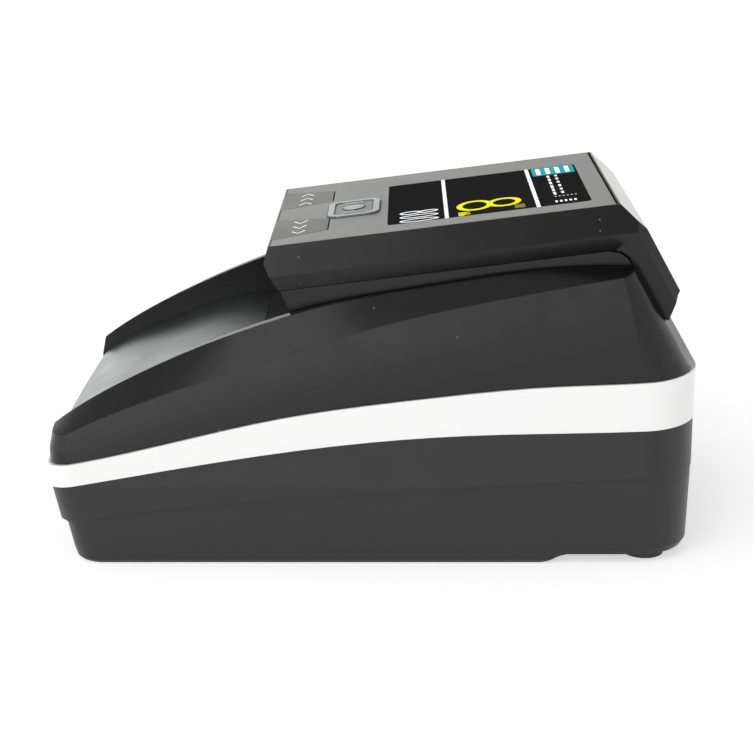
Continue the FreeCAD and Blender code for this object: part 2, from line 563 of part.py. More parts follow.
def make_drive():
    pulley_x = D["pulley_x"]
    bushes = []
    for name, y in zip(SHAFT_NAMES, SHAFT_YS):
        reach = 57.0 if name == "exit" else 53.4
        shaft = rod(name + "_rod", "dims.shaft_dia / 2", 58.4 + reach, (-58.4, y, "dims.shaft_height"))
        keep(shaft, name + "_shaft")
        tyres = []
        for side in (-1, 1):
            start = (side * D["roller_offset"] - D["roller_width"] / 2, y, "dims.shaft_height")
            blank = rod("%s_tyre_%d" % (name, len(tyres)), "dims.roller_dia / 2",
                        "dims.roller_width", start)
            bore = rod("%s_tyre_bore_%d" % (name, len(tyres)), "dims.shaft_dia / 2 + dims.push_gap",
                       "dims.roller_width", start)
            tyres.append(cut("%s_tyre_ring_%d" % (name, len(tyres)), blank, bore))
        keep(group(name + "_tyres", tyres), name + "_rollers")
        body = new_body(name + "_pulley_body")
        teeth = tooth_outline(y, D["shaft_height"], D["pulley_dia"] / 2, 20, 0.7)
        pad(body, name + "_pulley_disc", "YZ_Plane", teeth, "dims.pulley_width", offset=pulley_x)
        pocket(body, name + "_pulley_bore", "YZ_Plane",
               bore_outline(y, D["shaft_height"], D["shaft_dia"] / 2), 40, offset=pulley_x)
        keep(body, name + "_pulley")
        for side in (-1, 1):
            start = side * 50.9 - 1.5
            ring = rod("%s_bush_%d" % (name, side + 1), "dims.bush_dia / 2", 3,
                       (start, y, "dims.shaft_height"))
            hole = rod("%s_bush_bore_%d" % (name, side + 1), "dims.shaft_dia / 2 + dims.running_gap", 3,
                       (start, y, "dims.shaft_height"))
            bushes.append(cut("%s_bush_ring_%d" % (name, side + 1), ring, hole))
    keep(group("bush_set", bushes), "shaft_bushes")

    disc = new_body("encoder_body")
    slots = tooth_outline(SHAFT_YS[2], D["shaft_height"], 11.0, 24, 2.4)
    pad(disc, "encoder_plate", "YZ_Plane", slots, 0.8, offset=54.6)
    pocket(disc, "encoder_bore", "YZ_Plane",
           bore_outline(SHAFT_YS[2], D["shaft_height"], D["shaft_dia"] / 2), 20, offset=54.6)
    keep(disc, "encoder_disc")
    fork = box("fork_block", (5, 8, 10), (52.5, SHAFT_YS[2] - 4, 37.5))
    gap = box("fork_gap", (2.0, 10, 8), (54.0, SHAFT_YS[2] - 5, 40.0))
    keep(cut("fork", fork, gap), "encoder_sensor")

    y, z = D["motor_y"], D["motor_z"]
    can = rod("motor_can", "dims.motor_dia / 2", "dims.motor_length", (-50, "dims.motor_y", "dims.motor_z"))
    nose = rod("motor_nose", 3.0, 2.0, (-52, "dims.motor_y", "dims.motor_z"))
    bore = rod("motor_bore", "dims.motor_shaft_dia / 2 + dims.running_gap", 8,
               (-53, "dims.motor_y", "dims.motor_z"))
    keep(cut("motor_case", fuse("motor_shape", [can, nose]), bore), "drive_motor")
    keep(rod("motor_rod", "dims.motor_shaft_dia / 2", 12.8,
             (-58.2, "dims.motor_y", "dims.motor_z")), "motor_shaft")
    body = new_body("motor_pulley_body")
    pad(body, "motor_pulley_disc", "YZ_Plane", tooth_outline(y, z, D["motor_pulley_dia"] / 2, 11, 0.6),
        "dims.pulley_width", offset=pulley_x)
    pocket(body, "motor_pulley_bore", "YZ_Plane", bore_outline(y, z, D["motor_shaft_dia"] / 2), 40,
           offset=pulley_x)
    keep(body, "motor_pulley")
    plate = box("bracket_plate", (1.6, 30, 33), (-51.6, y - 15, 5.4))
    foot = box("bracket_foot", (14, 30, 1.6), (-51.6, y - 15, 5.4))
    eye = rod("bracket_eye", 3.1, 6, (-54, "dims.motor_y", "dims.motor_z"))
    holes = [rod("bracket_hole_%d" % i, 1.5, 5, (-42.5, y + dy, 4), "z")
             for i, dy in enumerate((-12.5, 12.5))]
    keep(cut("bracket", fuse("bracket_bent", [plate, foot]), fuse("bracket_holes", [eye] + holes)),
         "motor_bracket")
    bolts = []
    for dy in (-12.5, 12.5):
        head = rod("bracket_bolt_head_%d" % len(bolts), 2.6, 1.8, (-42.5, y + dy, 7.0), "z")
        shank = rod("bracket_bolt_shank_%d" % len(bolts), 1.45, 3.2, (-42.5, y + dy, 3.8), "z")
        bolts.append(fuse("bracket_bolt_%d" % len(bolts), [head, shank]))
    keep(group("bracket_bolt_set", bolts), "bracket_screws")
    make_belt()


def belt_loop(circles, x, width):
    """Solid inside a belt run round circles (y, z, radius), given anticlockwise."""
    tangents = []
    for (ay, az, ar), (by, bz, br) in zip(circles, circles[1:] + circles[:1]):
        span = math.hypot(by - ay, bz - az)
        along = Vector(0, (by - ay) / span, (bz - az) / span)
        outward = Vector(0, along.z, -along.y)
        share = (ar - br) / span
        arm = along * share + outward * math.sqrt(1 - share * share)
        tangents.append((Vector(x, ay, az) + arm * ar, Vector(x, by, bz) + arm * br))
    edges = []
    for index, (start, end) in enumerate(tangents):
        edges.append(Part.makeLine(start, end))
        cy, cz, radius = circles[(index + 1) % len(circles)]
        leave = tangents[(index + 1) % len(circles)][0]
        centre = Vector(x, cy, cz)
        middle = (end - centre) + (leave - centre)
        middle.normalize()
        edges.append(Part.Arc(end, centre + middle * radius, leave).toShape())
    return Part.Face(Part.Wire(edges)).extrude(Vector(width, 0, 0))


def make_belt():
    gap = D["belt_gap"]
    x = D["pulley_x"] + (D["pulley_width"] - D["belt_width"]) / 2

    def run(extra):
        big = D["pulley_dia"] / 2 + gap + extra
        small = D["motor_pulley_dia"] / 2 + gap + extra
        return [(D["motor_y"], D["motor_z"], small), (SHAFT_YS[2], D["shaft_height"], big),
                (SHAFT_YS[0], D["shaft_height"], big)]
    belt = belt_loop(run(D["belt_thick"]), x, D["belt_width"]).cut(belt_loop(run(0), x, D["belt_width"]))
    keep(solid_feature("belt_solid", belt), "drive_belt")


# ---------------------------------------------------------------- head
SEAM_DROP = 13.9
CHAMFER_END = (117.3, -8.6)
LEG_LINE = [(105.5, -13.7), (108.6, -14.4), (110.9, -16.4), (113.1, -20.6), (119.8, -37.3)]


def tilted_prism(points, half, x_shift=0.0):
    """Prism from a side view in the head's sloping frame (along the panel, above the panel)."""
    solid = prism_yz(points, half)
    solid.translate(Vector(x_shift, 0, 0))
    return solid


def head_outline():
    return ([(0, 0), (0, -0.2), (-1.9, -4.6), (-0.5, -D["facet_drop"]), (1.5, -SEAM_DROP)] + LEG_LINE
            + [(121.2, -38.0), (124.9, -30.3), (125.8, -29.5), CHAMFER_END, (109.9, 0)])


def facet_cutter(inner_half, outer_half, drop):
    """Wedges that slope the two long sides of the head's top."""
    tools = []
    for side in (-1, 1):
        points = [Vector(side * inner_half, -20, 0.001), Vector(side * outer_half, -20, -drop),
                  Vector(side * (outer_half + 20), -20, -drop), Vector(side * (outer_half + 20), -20, 20),
                  Vector(side * inner_half, -20, 20)]
        tools.append(Part.Face(Part.makePolygon(points + points[:1])).extrude(Vector(0, 180, 0)))
    return tools


def rear_corner_cutter():
    """Wedges that bevel the two upright rear corners, following the rear face's lean."""
    tools = []
    lean = Vector(0, 125.8 - CHAMFER_END[0], -29.5 - CHAMFER_END[1])
    lean.normalize()
    back = Vector(0, -lean.z, lean.y)
    for side in (-1, 1):
        base = Vector(0, *CHAMFER_END) - lean * 30
        edge_side = Vector(side * D["head_half"], base.y, base.z) - back * 3.0
        edge_back = Vector(side * (D["head_half"] - 3.2), base.y, base.z) + back * 0.01
        far = Vector(side * (D["head_half"] + 12), base.y, base.z) + back * 12
        near_side = edge_side + (edge_side - edge_back)
        near_back = edge_back + (edge_back - edge_side)
        wire = Part.makePolygon([near_side, far, near_back, near_side])
        tools.append(Part.Face(wire).extrude(lean * 75))
    return tools


def neck_recess():
    """Tapering recess under the facets: full width at the crease, the neck's width at the seam."""
    tools = []
    crease = [(-30, -D["facet_drop"]), (113.8, -D["facet_drop"]), (126.0, -37.5), (126, -80), (-30, -80)]
    seam = [(-30, -SEAM_DROP), (106.9, -SEAM_DROP), (121.6, -50.0), (121.6, -80), (-30, -80)]
    for side in (-1, 1):
        wires = []
        for x, points in ((D["head_half"] + 0.01, crease), (49.0, seam)):
            corners = [Vector(side * x, y, z) for y, z in points]
            wires.append(Part.makePolygon(corners + corners[:1]))
        tools.append(Part.makeLoft(wires, True, True))
    return tools


def key_outline(side, gap=0.0, front=0.0):
    """Key in plan, or its notch with a gap all round: wide at the head's front edge, narrower behind."""
    centre = side * D["key_centre"]
    taper = (D["key_front"] - D["key_rear"]) / 2 / D["key_long"]
    rear = D["key_long"] + gap
    across = gap * math.sqrt(1 + taper * taper)
    wide = D["key_front"] / 2 + across - taper * front
    narrow = D["key_front"] / 2 + across - taper * rear
    return [(centre - wide, front), (centre + wide, front), (centre + narrow, rear), (centre - narrow, rear)]


def make_head_cover():
    cover = tilted_prism(head_outline(), D["head_half"])
    for tool in facet_cutter(D["head_top_half"], D["head_half"], D["facet_drop"]):
        cover = cover.cut(tool)
    for tool in rear_corner_cutter() + neck_recess():
        cover = cover.cut(tool)
    cavity = [(1.8, -5.4), (108.0, -5.4), (114.6, -9.4), (123.0, -29.2), (119.4, -37.6), (121, -60),
              (-4, -60), (-4, -24), (3.4, -SEAM_DROP), (1.6, -8.7)]
    cover = cover.cut(tilted_prism(cavity, 47.0))
    inner = D["panel_half"] - 1.6
    cover = cover.cut(Part.makeBox(2 * inner, 103.6, 10, Vector(-inner, 2.6, -8)))
    recess = D["panel_half"] + 0.15
    cover = cover.cut(Part.makeBox(2 * recess, D["panel_long"] + 1.0, 8,
                                   Vector(-recess, 0.6, -D["panel_thick"])))
    for side in (-1, 1):
        points = [Vector(x, y, -4.4) for x, y in key_outline(side, D["key_gap"], -6.0)]
        cover = cover.cut(Part.Face(Part.makePolygon(points + points[:1])).extrude(Vector(0, 0, 10)))
    cover.Placement = HEAD_FRAME
    for x, y in HEAD_POSTS:
        boss = Part.makeCylinder(3.0, 60, Vector(x, y, HEAD_POST_TOP + 0.1))
        limit = tilted_prism([(2, -60), (108, -60), (108, -2.6), (2, -2.6)], 46.0)
        limit.Placement = HEAD_FRAME
        cover = cover.fuse(boss.common(limit))
        cover = cover.cut(Part.makeCylinder(1.25, 6, Vector(x, y, HEAD_POST_TOP - 1)))
    return keep(solid_feature("head_cover_solid", cover), "head_cover")


def in_head(points):
    """Points of the head's sloping frame, in the row's side view."""
    moved = [HEAD_FRAME.multVec(Vector(0, y, z)) for y, z in points]
    return [(p.y, p.z) for p in moved]


def make_head_frame():
    """Lower half of the head: neck walls, upper note guide and the roller ribs."""
    bottom = D["deck_top"] + D["path_gap"]
    seam = in_head([(1.9, -SEAM_DROP - 0.05), (105.0, -SEAM_DROP - 0.05), (108.2, -14.9), (110.4, -16.8),
                    (112.6, -20.9), (114.8, -26.3)])
    hinge_y, hinge_z = D["hinge_y"], D["hinge_z"]
    heel = [(hinge_y - 0.5 + 3.0 * math.sin(math.radians(a)), bottom + 3.0 - 3.0 * math.cos(math.radians(a)))
            for a in (0, 30, 60, 90)]
    front = in_head([(4.3, -21.9)]) + [(-21.6, 70.9), (-10.0, bottom)]
    outer = prism_yz(seam[::-1] + front + heel + [(91.0, 76.0)], D["neck_half"])
    wall = 1.9
    inner_floor = bottom + 2.0
    inner = prism_yz([(-25.0, 110), (-26.2, 84), (-22.8, 78.6), (-19.4, 71.8), (-9.2, inner_floor),
                      (88.0, inner_floor), (89.0, 76.0), (84.0, 88.0), (80.0, 110)], D["neck_half"] - wall)
    frame = outer.cut(inner)
    for side in (-1, 1):
        rib = Part.makeBox(2.0, 92, 10, Vector(side * 34 - 1, -8, inner_floor - 0.2))
        frame = frame.fuse(rib.common(outer))
        frame = frame.cut(Part.makeCylinder(D["hinge_pin_dia"] / 2, 10,
                                            Vector(side * 52, hinge_y, hinge_z), Vector(-side, 0, 0)))
        for x, y in HEAD_POSTS:
            if x * side > 0:
                post = Part.makeCylinder(3.2, HEAD_POST_TOP - inner_floor, Vector(x, y, inner_floor))
                frame = frame.fuse(post)
                frame = frame.cut(Part.makeCylinder(1.5, 40, Vector(x, y, bottom - 1)))
                frame = frame.cut(Part.makeCylinder(2.9, 7, Vector(x, y, bottom - 1)))
    for y in SHAFT_YS:
        for side in (-1, 1):
            roller_way = Part.makeBox(12, 13.6, 6, Vector(side * D["roller_offset"] - 6, y - 6.8, bottom - 2))
            frame = frame.cut(roller_way)
        frame = frame.cut(Part.makeCylinder(D["idler_axle_dia"] / 2 + D["running_gap"], 76,
                                            Vector(-38, y, IDLER_Z), Vector(1, 0, 0)))
    frame = frame.cut(Part.makeBox(62, 10, 8, Vector(-31, 12, bottom - 3)))
    frame = frame.cut(Part.makeBox(62, 10, 8, Vector(-31, 47, bottom - 3)))
    keep(solid_feature("head_frame_solid", frame), "head_frame")
    pins = [rod("hinge_pin_%d" % i, "dims.hinge_pin_dia / 2", "dims.hinge_pin_long",
                (start, "dims.hinge_y", "dims.hinge_z"))
            for i, start in enumerate(("46.9", "-46.9 - dims.hinge_pin_long"))]
    keep(group("hinge_pin_set", pins), "hinge_pins")
    bolts = []
    for x, y in HEAD_POSTS:
        head = rod("head_bolt_head_%d" % len(bolts), 2.7, 2.0, (x, y, bottom + 4.0), "z")
        shank = rod("head_bolt_shank_%d" % len(bolts), 1.25, HEAD_POST_TOP - bottom - 1.2,
                    (x, y, bottom + 6.0), "z")
        bolts.append(fuse("head_bolt_%d" % len(bolts), [head, shank]))
    keep(group("head_bolt_set", bolts), "head_screws")
    keep(box("upper_sensor_bar", (60, 14, 11), (-30, 10, bottom + 2.3)), "upper_image_sensor")
    keep(box("upper_glass", (61.6, 9.6, 1.8), (-30.8, 12.2, bottom + 0.1)), "upper_sensor_glass")
    keep(box("magnet_bar", (61.0, 9.4, 9.0), (-30.5, 47.3, bottom + 0.1)), "magnetic_sensor")


def make_idlers():
    springs = []
    for name, y in zip(SHAFT_NAMES, SHAFT_YS):
        keep(rod(name + "_idler_rod", "dims.idler_axle_dia / 2", 73, (-36.5, y, str(IDLER_Z))),
             name + "_idler_axle")
        wheels = []
        for side in (-1, 1):
            start = (side * D["roller_offset"] - D["idler_width"] / 2, y, str(IDLER_Z))
            blank = rod("%s_idler_%d" % (name, len(wheels)), "dims.idler_dia / 2", "dims.idler_width", start)
            bore = rod("%s_idler_bore_%d" % (name, len(wheels)),
                       "dims.idler_axle_dia / 2 + dims.push_gap", "dims.idler_width", start)
            wheels.append(cut("%s_idler_ring_%d" % (name, len(wheels)), blank, bore))
            springs.append(box("leaf_%s_%d" % (name, len(wheels)), (3.0, 16.0, 0.5),
                               (side * 36.9 - 1.5, y - 8.0, IDLER_Z + 1.9)))
        keep(group(name + "_idler_set", wheels), name + "_idlers")
    keep(group("leaf_spring_set", springs), "idler_springs")


def seat_in_head(obj):
    obj.Placement = HEAD_FRAME.multiply(obj.Placement)
    return obj


def make_panel():
    panel = new_body("panel_body")
    half = D["panel_half"]
    rear = 0.8 + D["panel_long"]
    pad(panel, "panel_plate", "XY_Plane", rectangle(-half, half, 0.8, rear), "dims.panel_thick",
        offset=-D["panel_thick"])
    for index, side in enumerate((-1, 1)):
        pocket(panel, "key_notch_%d" % index, "XY_Plane", key_outline(side, D["key_gap"], -2.0), 40)
    shift, wide = D["window_shift"], D["window_wide"] / 2
    start = D["window_start"]
    end = start + D["window_long"]
    corner = D["window_corner"]
    pocket(panel, "window_hole", "XY_Plane",
           rounded_rectangle(shift - wide, shift + wide, start, end, corner), 40)
    keep(seat_in_head(panel), "top_panel")

    window = new_body("window_body")
    lens = rounded_rectangle(shift - wide + 0.1, shift + wide - 0.1, start + 0.1, end - 0.1, corner - 0.1)
    pad(window, "window_lens", "XY_Plane", lens, "dims.window_thick", offset=-D["window_thick"] - 0.1)
    keep(seat_in_head(window), "display_window")

    for side, name in ((-1, "key_left"), (1, "key_right")):
        key = new_body(name + "_body")
        pad(key, name + "_cap", "XY_Plane", key_outline(side), "dims.key_height", offset=-D["key_height"])
        keep(seat_in_head(key), name)

    parts = [("lcd_block", (60, 62, 4.6), (shift - 30, start + 2, -6.8), "lcd_module"),
             ("panel_pcb", (76, 98, 1.6), (-38, 5, -8.6), "panel_board")]
    for name, size, corner, label in parts:
        blank = box(name, size, (0, 0, 0))
        holder = fuse(name + "_seat", [blank, blank])
        holder.Placement = HEAD_FRAME.multiply(Placement(Vector(*corner), Rotation()))
        keep(holder, label)
    switches = []
    for side in (-1, 1):
        body_ = box("dome_%d" % (side + 1), (6, 6, 2.6), (side * D["key_centre"] - 3, 7, -6.9))
        switches.append(body_)
    domes = group("dome_set", switches)
    domes.Placement = HEAD_FRAME
    keep(domes, "key_switches")


def make_badge():
    """Plain ornament on the panel: a framed note with a disc in the middle."""
    badge = new_body("badge_body")
    shift = D["window_shift"]
    start = D["badge_start"]
    wide, long = D["badge_wide"] / 2, D["badge_long"]
    rim = 2.0
    outer = rounded_rectangle(shift - wide, shift + wide, start, start + long, 4.0)
    inner = rounded_rectangle(shift - wide + rim, shift + wide - rim, start + rim, start + long - rim, 2.0)
    pad(badge, "badge_plate", "XY_Plane", outer, "dims.badge_thick")
    pocket(badge, "badge_field", "XY_Plane", inner, 0.8, offset=D["badge_thick"] + 0.05)
    disc = [(shift + 3.4 * math.cos(a), start + long / 2 + 3.4 * math.sin(a))
            for a in [math.pi * i / 20 for i in range(40)]]
    pad(badge, "badge_disc", "XY_Plane", disc, "dims.badge_thick")
    for index, x in enumerate((-7.6, 7.6)):
        bar = rectangle(shift + x - 0.7, shift + x + 0.7, start + long / 2 - 3.0, start + long / 2 + 3.0)
        pad(badge, "badge_bar_%d" % index, "XY_Plane", bar, "dims.badge_thick")
    keep(seat_in_head(badge), "badge")


POST_TOP = 17.0
FOOT_SPOTS = [(side * D["foot_x"], y) for side in (-1, 1) for y in (D["foot_front_y"], D["foot_rear_y"])]
SCREW_SPOTS = FOOT_SPOTS + [(-56.0, -28.0), (56.0, -28.0)]
BOARD_SPOTS = [(x, y) for x in (-40.0, 40.0) for y in (-72.0, 2.0)]
HEAD_POSTS = [(x, y) for x in (-42.5, 42.5) for y in (-4.0, 78.0)]
HEAD_POST_TOP = 84.0

make_base_shell()
make_white_band()
make_upper_shell()
make_floor_pieces()
make_base_hardware()
make_rear_sockets()
make_drive()
make_head_cover()
make_head_frame()
make_idlers()
make_panel()
make_badge()
doc.recompute()

# ---------------------------------------------------------------- checks and export
for obj in doc.Objects:
    if "Invalid" in obj.State or "Error" in obj.State:
        raise RuntimeError("%s failed: %s" % (obj.Name, obj.State))
for obj in subparts:
    if obj.Shape.isNull() or not obj.Shape.isValid():
        raise RuntimeError("%s has no valid shape" % obj.Label)
    print("%-20s %2d solid(s) %9.0f mm3" % (obj.Label, len(obj.Shape.Solids), obj.Shape.Volume))

os.makedirs("parts", exist_ok=True)
for obj in subparts:
    obj.Shape.exportStep("parts/%s.step" % obj.Label)
print(len(subparts), "sub-parts")
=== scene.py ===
"""Looks of the banknote counting machine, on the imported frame. Metres; +X right, +Y rear, +Z up."""

import json
import math

import bmesh
import bpy
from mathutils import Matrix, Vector


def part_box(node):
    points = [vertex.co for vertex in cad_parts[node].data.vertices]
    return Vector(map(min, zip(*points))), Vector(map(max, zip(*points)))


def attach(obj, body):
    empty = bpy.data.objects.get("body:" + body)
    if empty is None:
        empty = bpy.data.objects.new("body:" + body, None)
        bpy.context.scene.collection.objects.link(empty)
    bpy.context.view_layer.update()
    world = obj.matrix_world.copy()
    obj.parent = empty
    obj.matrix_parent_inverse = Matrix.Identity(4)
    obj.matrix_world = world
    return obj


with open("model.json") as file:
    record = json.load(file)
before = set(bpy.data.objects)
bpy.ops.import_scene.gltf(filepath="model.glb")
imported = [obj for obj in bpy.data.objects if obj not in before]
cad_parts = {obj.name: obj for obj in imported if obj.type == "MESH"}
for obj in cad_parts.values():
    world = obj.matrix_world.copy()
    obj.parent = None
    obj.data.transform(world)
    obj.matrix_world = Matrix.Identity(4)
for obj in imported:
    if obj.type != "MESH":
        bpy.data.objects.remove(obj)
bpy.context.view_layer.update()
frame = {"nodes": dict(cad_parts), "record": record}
scene = bpy.context.scene
scene.view_settings.view_transform = "Standard"
nodes = frame["nodes"]


# ---------------------------------------------------------------- camera, floor and light
def aim(obj, target):
    direction = Vector(target) - obj.location
    obj.rotation_euler = direction.to_track_quat("-Z", "Y").to_euler()


def make_camera():
    data = bpy.data.cameras.new("camera")
    data.lens = 84.94
    data.sensor_width = 36.0
    data.shift_x = -0.0371
    data.clip_start = 0.01
    data.clip_end = 50.0
    camera = bpy.data.objects.new("camera", data)
    camera.location = (0.586, 0.01045, 0.22255)
    down = math.radians(17.0)
    camera.rotation_euler = (math.radians(90.0) - down, 0.0, math.radians(90.0))
    scene.collection.objects.link(camera)
    scene.camera = camera


def make_floor():
    size = 3.0
    mesh = bpy.data.meshes.new("floor")
    corners = [(-size, -size, 0), (size, -size, 0), (size, size, 0), (-size, size, 0)]
    mesh.from_pydata(corners, [], [(0, 1, 2, 3)])
    floor = bpy.data.objects.new("floor", mesh)
    scene.collection.objects.link(floor)
    mesh.materials.append(floor_material())


def floor_material():
    mat, _, shader = new_material("pale_floor")
    shader.inputs["Base Color"].default_value = (0.90, 0.90, 0.90, 1.0)
    shader.inputs["Roughness"].default_value = 0.9
    shader.inputs["Specular IOR Level"].default_value = 0.1
    shader.inputs["Emission Color"].default_value = (1.0, 1.0, 1.0, 1.0)
    shader.inputs["Emission Strength"].default_value = 0.56
    return mat


def area_light(name, place, target, size, power):
    data = bpy.data.lights.new(name, "AREA")
    data.shape = "RECTANGLE"
    data.size, data.size_y = size
    data.energy = power
    light = bpy.data.objects.new(name, data)
    light.location = place
    aim(light, target)
    scene.collection.objects.link(light)


def level_ramp(tree, source, stops):
    """Smooth grey ramp over a 0 to 1 input."""
    ramp = tree.nodes.new("ShaderNodeValToRGB")
    ramp.color_ramp.interpolation = "B_SPLINE"
    while len(ramp.color_ramp.elements) < len(stops):
        ramp.color_ramp.elements.new(0.5)
    for element, (place, value) in zip(ramp.color_ramp.elements, stops):
        element.position = place
        element.color = (value, value, value, 1.0)
    tree.links.new(source, ramp.inputs[0])
    return ramp.outputs[0]


def times(tree, first, second):
    node = tree.nodes.new("ShaderNodeMath")
    node.operation = "MULTIPLY"
    tree.links.new(first, node.inputs[0])
    tree.links.new(second, node.inputs[1])
    return node.outputs[0]


def make_world():
    """Studio surround: brightest low down, in front and on the right, dimmest towards the rear corners."""
    world = bpy.data.worlds.new("studio")
    world.use_nodes = True
    tree = world.node_tree
    tree.nodes.clear()
    coords = tree.nodes.new("ShaderNodeTexCoord")
    split = tree.nodes.new("ShaderNodeSeparateXYZ")
    tree.links.new(coords.outputs["Generated"], split.inputs[0])
    height = level_ramp(tree, split.outputs["Z"],
                        [(0.0, 1.0), (0.12, 1.0), (0.26, 0.30), (0.50, 0.16), (1.0, 0.30)])
    lengthwise = level_ramp(tree, ramp_between(tree, split.outputs["Y"], 0.0, 1.0, -1.0, 1.0),
                            [(0.0, 3.0), (0.25, 1.2), (0.5, 0.70), (0.78, 0.16), (1.0, 0.90)])
    across = ramp_between(tree, split.outputs["X"], 1.75, 3.20, -1.0, 1.0)
    background = tree.nodes.new("ShaderNodeBackground")
    tree.links.new(times(tree, times(tree, height, lengthwise), across), background.inputs["Strength"])
    output = tree.nodes.new("ShaderNodeOutputWorld")
    tree.links.new(background.outputs[0], output.inputs[0])
    background.inputs["Color"].default_value = (1.0, 1.0, 1.0, 1.0)
    scene.world = world


# ---------------------------------------------------------------- materials
DUST_TONE = (0.5, 0.5, 0.48)
DUST_CELLS, DUST_CHOICE = 260.0, 420.0      # texture scales: cell size, and which cells hold a speck


def new_material(name):
    mat = bpy.data.materials.new(name)
    mat.use_nodes = True
    tree = mat.node_tree
    shader = tree.nodes["Principled BSDF"]
    return mat, tree, shader


def add(tree, kind, **values):
    node = tree.nodes.new(kind)
    for key, value in values.items():
        if key in node.inputs:
            node.inputs[key].default_value = value
        else:
            setattr(node, key, value)
    return node


def noise(tree, coords, scale, detail=2.0, roughness=0.5):
    node = add(tree, "ShaderNodeTexNoise", Scale=scale, Detail=detail, Roughness=roughness)
    tree.links.new(coords, node.inputs["Vector"])
    return node.outputs["Fac"]


def ramp_between(tree, source, low, high, start=0.0, end=1.0):
    node = add(tree, "ShaderNodeMapRange")
    node.inputs["From Min"].default_value = start
    node.inputs["From Max"].default_value = end
    node.inputs["To Min"].default_value = low
    node.inputs["To Max"].default_value = high
    tree.links.new(source, node.inputs["Value"])
    return node.outputs["Result"]


def mix_colours(tree, factor, first, second):
    """Colour blend; each end is a plain colour or another node's output."""
    node = add(tree, "ShaderNodeMix", data_type="RGBA")
    for label, end in (("A", first), ("B", second)):
        socket = [s for s in node.inputs if s.name == label and s.type == "RGBA"][0]
        if isinstance(end, tuple):
            socket.default_value = (*end, 1.0)
        else:
            tree.links.new(end, socket)
    tree.links.new(factor, node.inputs["Factor"])
    return [s for s in node.outputs if s.type == "RGBA"][0]


def moulded(name, dark, light, roughness, spread, grain, depth, specular=0.5, coat=0.0,
            metallic=0.0, blotch=35.0, edge=0.0004, dust=0.0):
    """Moulded or finished surface: soft tone changes, uneven gloss, fine grain, rounded edges."""
    mat, tree, shader = new_material(name)
    coords = add(tree, "ShaderNodeTexCoord").outputs["Object"]
    colour = mix_colours(tree, noise(tree, coords, blotch, 3.0), dark, light)
    if dust > 0:
        # sparse settled specks, one in some of the cells
        cells = add(tree, "ShaderNodeTexVoronoi", Scale=DUST_CELLS)
        tree.links.new(coords, cells.inputs["Vector"])
        near = ramp_between(tree, cells.outputs["Distance"], 1.0, 0.0, 0.04, 0.08)
        chosen = ramp_between(tree, noise(tree, coords, DUST_CHOICE, 1.0), 0.0, dust, 0.62, 0.66)
        colour = mix_colours(tree, times(tree, near, chosen), colour, DUST_TONE)
    tree.links.new(colour, shader.inputs["Base Color"])
    gloss = noise(tree, coords, blotch * 2.3, 4.0)
    tree.links.new(ramp_between(tree, gloss, roughness - spread, roughness + spread, 0.3, 0.7),
                   shader.inputs["Roughness"])
    shader.inputs["Specular IOR Level"].default_value = specular
    shader.inputs["Coat Weight"].default_value = coat
    shader.inputs["Coat Roughness"].default_value = 0.08
    shader.inputs["Metallic"].default_value = metallic
    bump = add(tree, "ShaderNodeBump", Strength=1.0, Distance=depth)
    tree.links.new(noise(tree, coords, grain, 2.0, 0.6), bump.inputs["Height"])
    if edge > 0:
        rounding = add(tree, "ShaderNodeBevel", Radius=edge, samples=6)
        tree.links.new(rounding.outputs["Normal"], bump.inputs["Normal"])
    tree.links.new(bump.outputs["Normal"], shader.inputs["Normal"])
    return mat


def grey(value):
    return (value, value, value)


